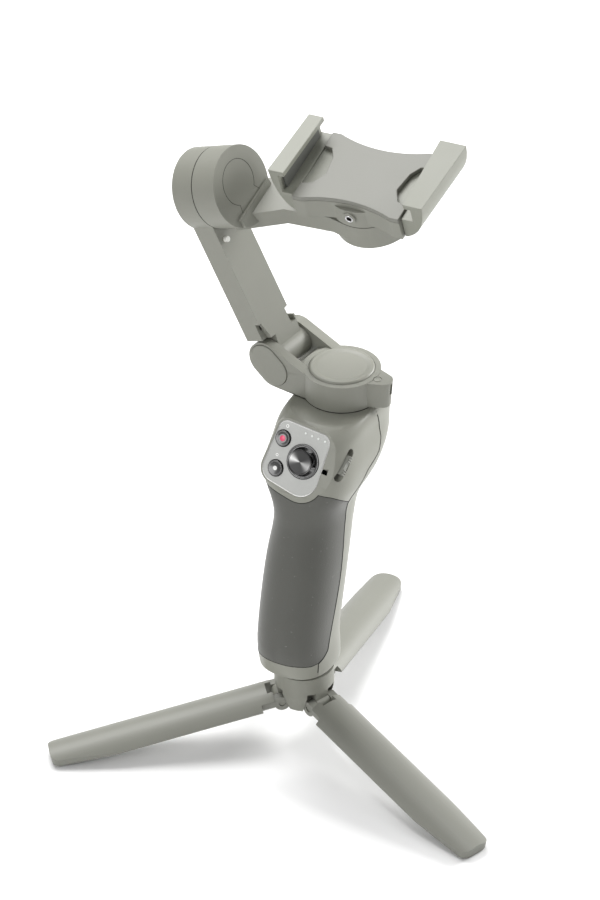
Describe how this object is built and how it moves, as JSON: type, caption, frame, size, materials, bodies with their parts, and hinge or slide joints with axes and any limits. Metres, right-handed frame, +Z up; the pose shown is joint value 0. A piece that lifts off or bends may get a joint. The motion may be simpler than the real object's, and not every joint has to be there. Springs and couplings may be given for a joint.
{
  "type": "phone gimbal stabilizer",
  "caption": "Folding three-axis phone gimbal with a spring-loaded phone clamp, a handle with joystick and buttons, and a spread three-leg table tripod.",
  "frame": {"origin": "middle of the footprint, on the floor", "axes": "+Z up, the control panel faces -Y, the zoom slider is on +X"},
  "size_m": [0.2083, 0.1974, 0.292],
  "materials": {
    "grey_plastic": "fine matt texture",
    "head_plastic": "fine matt texture",
    "dark_plastic": "matt",
    "soft_grip": "soft touch",
    "panel": "satin",
    "black_gloss": "gloss",
    "rubber": "matt",
    "steel": "satin",
    "brass": "satin",
    "windings": "varnished wire",
    "board": "solder mask",
    "cell": "shrink sleeve",
    "white_plastic": "satin",
    "ribbon": "polyimide film",
    "lights": "clear"
  },
  "bodies": {
    "handle": {"tripod_hub": "grey_plastic", "tripod_stud": "steel", "leg_pins": "steel", "front_shell": "head_plastic", "rear_shell": "head_plastic", "grip_cover": "soft_grip", "base_plate": "dark_plastic", "socket_insert": "brass", "battery_cells": "cell", "main_board": "board", "control_panel": "panel", "status_lights": "lights", "joystick_module": "black_gloss", "trigger_pin": "steel", "trigger_spring": "steel", "usb_c_port": "steel", "usb_a_port": "steel", "pan_stator": "windings", "pan_bearings": "steel"},
    "leg_1": {"leg_1": "grey_plastic", "leg_foot_1": "rubber"},
    "leg_2": {"leg_2": "grey_plastic", "leg_foot_2": "rubber"},
    "leg_3": {"leg_3": "grey_plastic", "leg_foot_3": "rubber"},
    "joystick_frame": {"joystick_gimbal": "steel"},
    "joystick": {"joystick_cap": "black_gloss"},
    "record_button": {"record_button": "black_gloss"},
    "mode_button": {"mode_button": "black_gloss"},
    "zoom_slider": {"zoom_slider": "dark_plastic"},
    "trigger": {"trigger": "dark_plastic"},
    "yoke": {"pan_rotor": "steel", "pan_shaft": "steel", "yoke": "grey_plastic", "pan_cap": "head_plastic", "hinge_pin": "grey_plastic", "ear_caps": "grey_plastic"},
    "arm": {"arm_shell": "grey_plastic", "arm_cover": "grey_plastic", "arm_ribbon": "ribbon", "latch_pin": "white_plastic", "tilt_stator": "windings", "tilt_bearings": "steel"},
    "roll_arm": {"tilt_rotor": "steel", "tilt_shaft": "steel", "roll_arm": "grey_plastic", "roll_stator": "windings", "roll_bearings": "steel", "roll_cover": "head_plastic"},
    "clamp": {"roll_rotor": "steel", "roll_shaft": "steel", "clamp_body": "grey_plastic", "clamp_cover": "dark_plastic", "thread_insert": "steel", "clamp_springs": "steel"},
    "clamp_pinion": {"clamp_pinion": "white_plastic"},
    "left_jaw": {"left_jaw": "grey_plastic", "left_pad": "rubber"},
    "right_jaw": {"right_jaw": "grey_plastic", "right_pad": "rubber"}
  },
  "joints": [
    {"name": "leg_1_fold", "type": "hinge", "parent": "handle", "child": "leg_1", "pos_m": [-0.0103, -0.00814, 0.022], "axis": [-0.9877, -0.1564, 0], "range_deg": [0, 80]},
    {"name": "leg_2_fold", "type": "hinge", "parent": "handle", "child": "leg_2", "pos_m": [-0.01744, -0.02674, 0.022], "axis": [0.6293, -0.7771, 0], "range_deg": [0, 80]},
    {"name": "leg_3_fold", "type": "hinge", "parent": "handle", "child": "leg_3", "pos_m": [0.00224, -0.02362, 0.022], "axis": [0.3584, 0.9336, 0], "range_deg": [0, 80]},
    {"name": "joystick_up_down", "type": "hinge", "parent": "handle", "child": "joystick_frame", "pos_m": [-0.0078, -0.01424, 0.14764], "axis": [1, 0, 0], "range_deg": [-8, 8], "stiffness_Nm_per_rad": 0.02},
    {"name": "joystick_left_right", "type": "hinge", "parent": "joystick_frame", "child": "joystick", "pos_m": [-0.0078, -0.01424, 0.14764], "axis": [0, 0.4617, 0.887], "range_deg": [-8, 8], "stiffness_Nm_per_rad": 0.02},
    {"name": "record_press", "type": "slide", "parent": "handle", "child": "record_button", "axis": [0, 0.887, -0.4617], "range_m": [0, 0.0006], "stiffness_N_per_m": 400, "springref_m": -0.0004},
    {"name": "mode_press", "type": "slide", "parent": "handle", "child": "mode_button", "axis": [0, 0.887, -0.4617], "range_m": [0, 0.0006], "stiffness_N_per_m": 400, "springref_m": -0.0004},
    {"name": "zoom_slide", "type": "slide", "parent": "handle", "child": "zoom_slider", "axis": [0.092, 0.7491, 0.6561], "range_m": [-0.0018, 0.0018], "stiffness_N_per_m": 150},
    {"name": "trigger_pull", "type": "hinge", "parent": "handle", "child": "trigger", "pos_m": [-0.0085, 0.02572, 0.13905], "axis": [-1, 0, 0], "range_deg": [0, 7], "stiffness_Nm_per_rad": 0.05, "springref_deg": -3.44, "deforming": ["trigger_spring"]},
    {"name": "pan", "type": "hinge", "parent": "handle", "child": "yoke", "pos_m": [-0.0085, 0.0182, 0.1785], "axis": [0, 0, 1], "range_deg": [-162, 170]},
    {"name": "arm_fold", "type": "hinge", "parent": "yoke", "child": "arm", "pos_m": [-0.03831, 0.0216, 0.1772], "axis": [-0.1132, -0.9936, 0], "range_deg": [0, 148]},
    {"name": "tilt", "type": "hinge", "parent": "arm", "child": "roll_arm", "pos_m": [-0.07634, 0.01314, 0.25417], "axis": [0.9276, -0.1057, 0.3584], "range_deg": [-104, 235]},
    {"name": "roll", "type": "hinge", "parent": "roll_arm", "child": "clamp", "pos_m": [-0.00141, 0.02676, 0.27427], "axis": [-0.0512, -0.3056, 0.9508], "range_deg": [-85, 138]},
    {"name": "right_jaw_slide", "type": "slide", "parent": "clamp", "child": "right_jaw", "axis": [0.9986, -0.0066, 0.0516], "range_m": [0, 0.013], "stiffness_N_per_m": 120, "springref_m": -0.012},
    {"name": "left_jaw_slide", "type": "slide", "parent": "clamp", "child": "left_jaw", "axis": [-0.9986, 0.0066, -0.0516], "range_m": [0, 0.013]},
    {"name": "pinion_turn", "type": "hinge", "parent": "clamp", "child": "clamp_pinion", "pos_m": [-0.00141, 0.02676, 0.27427], "axis": [-0.0512, -0.3056, 0.9508], "range_deg": [0, 150]}
  ],
  "couplings": [
    {"joint": "left_jaw_slide", "follows": "right_jaw_slide", "ratio": 1},
    {"joint": "pinion_turn", "follows": "right_jaw_slide", "rad_per_m": 200}
  ]
}
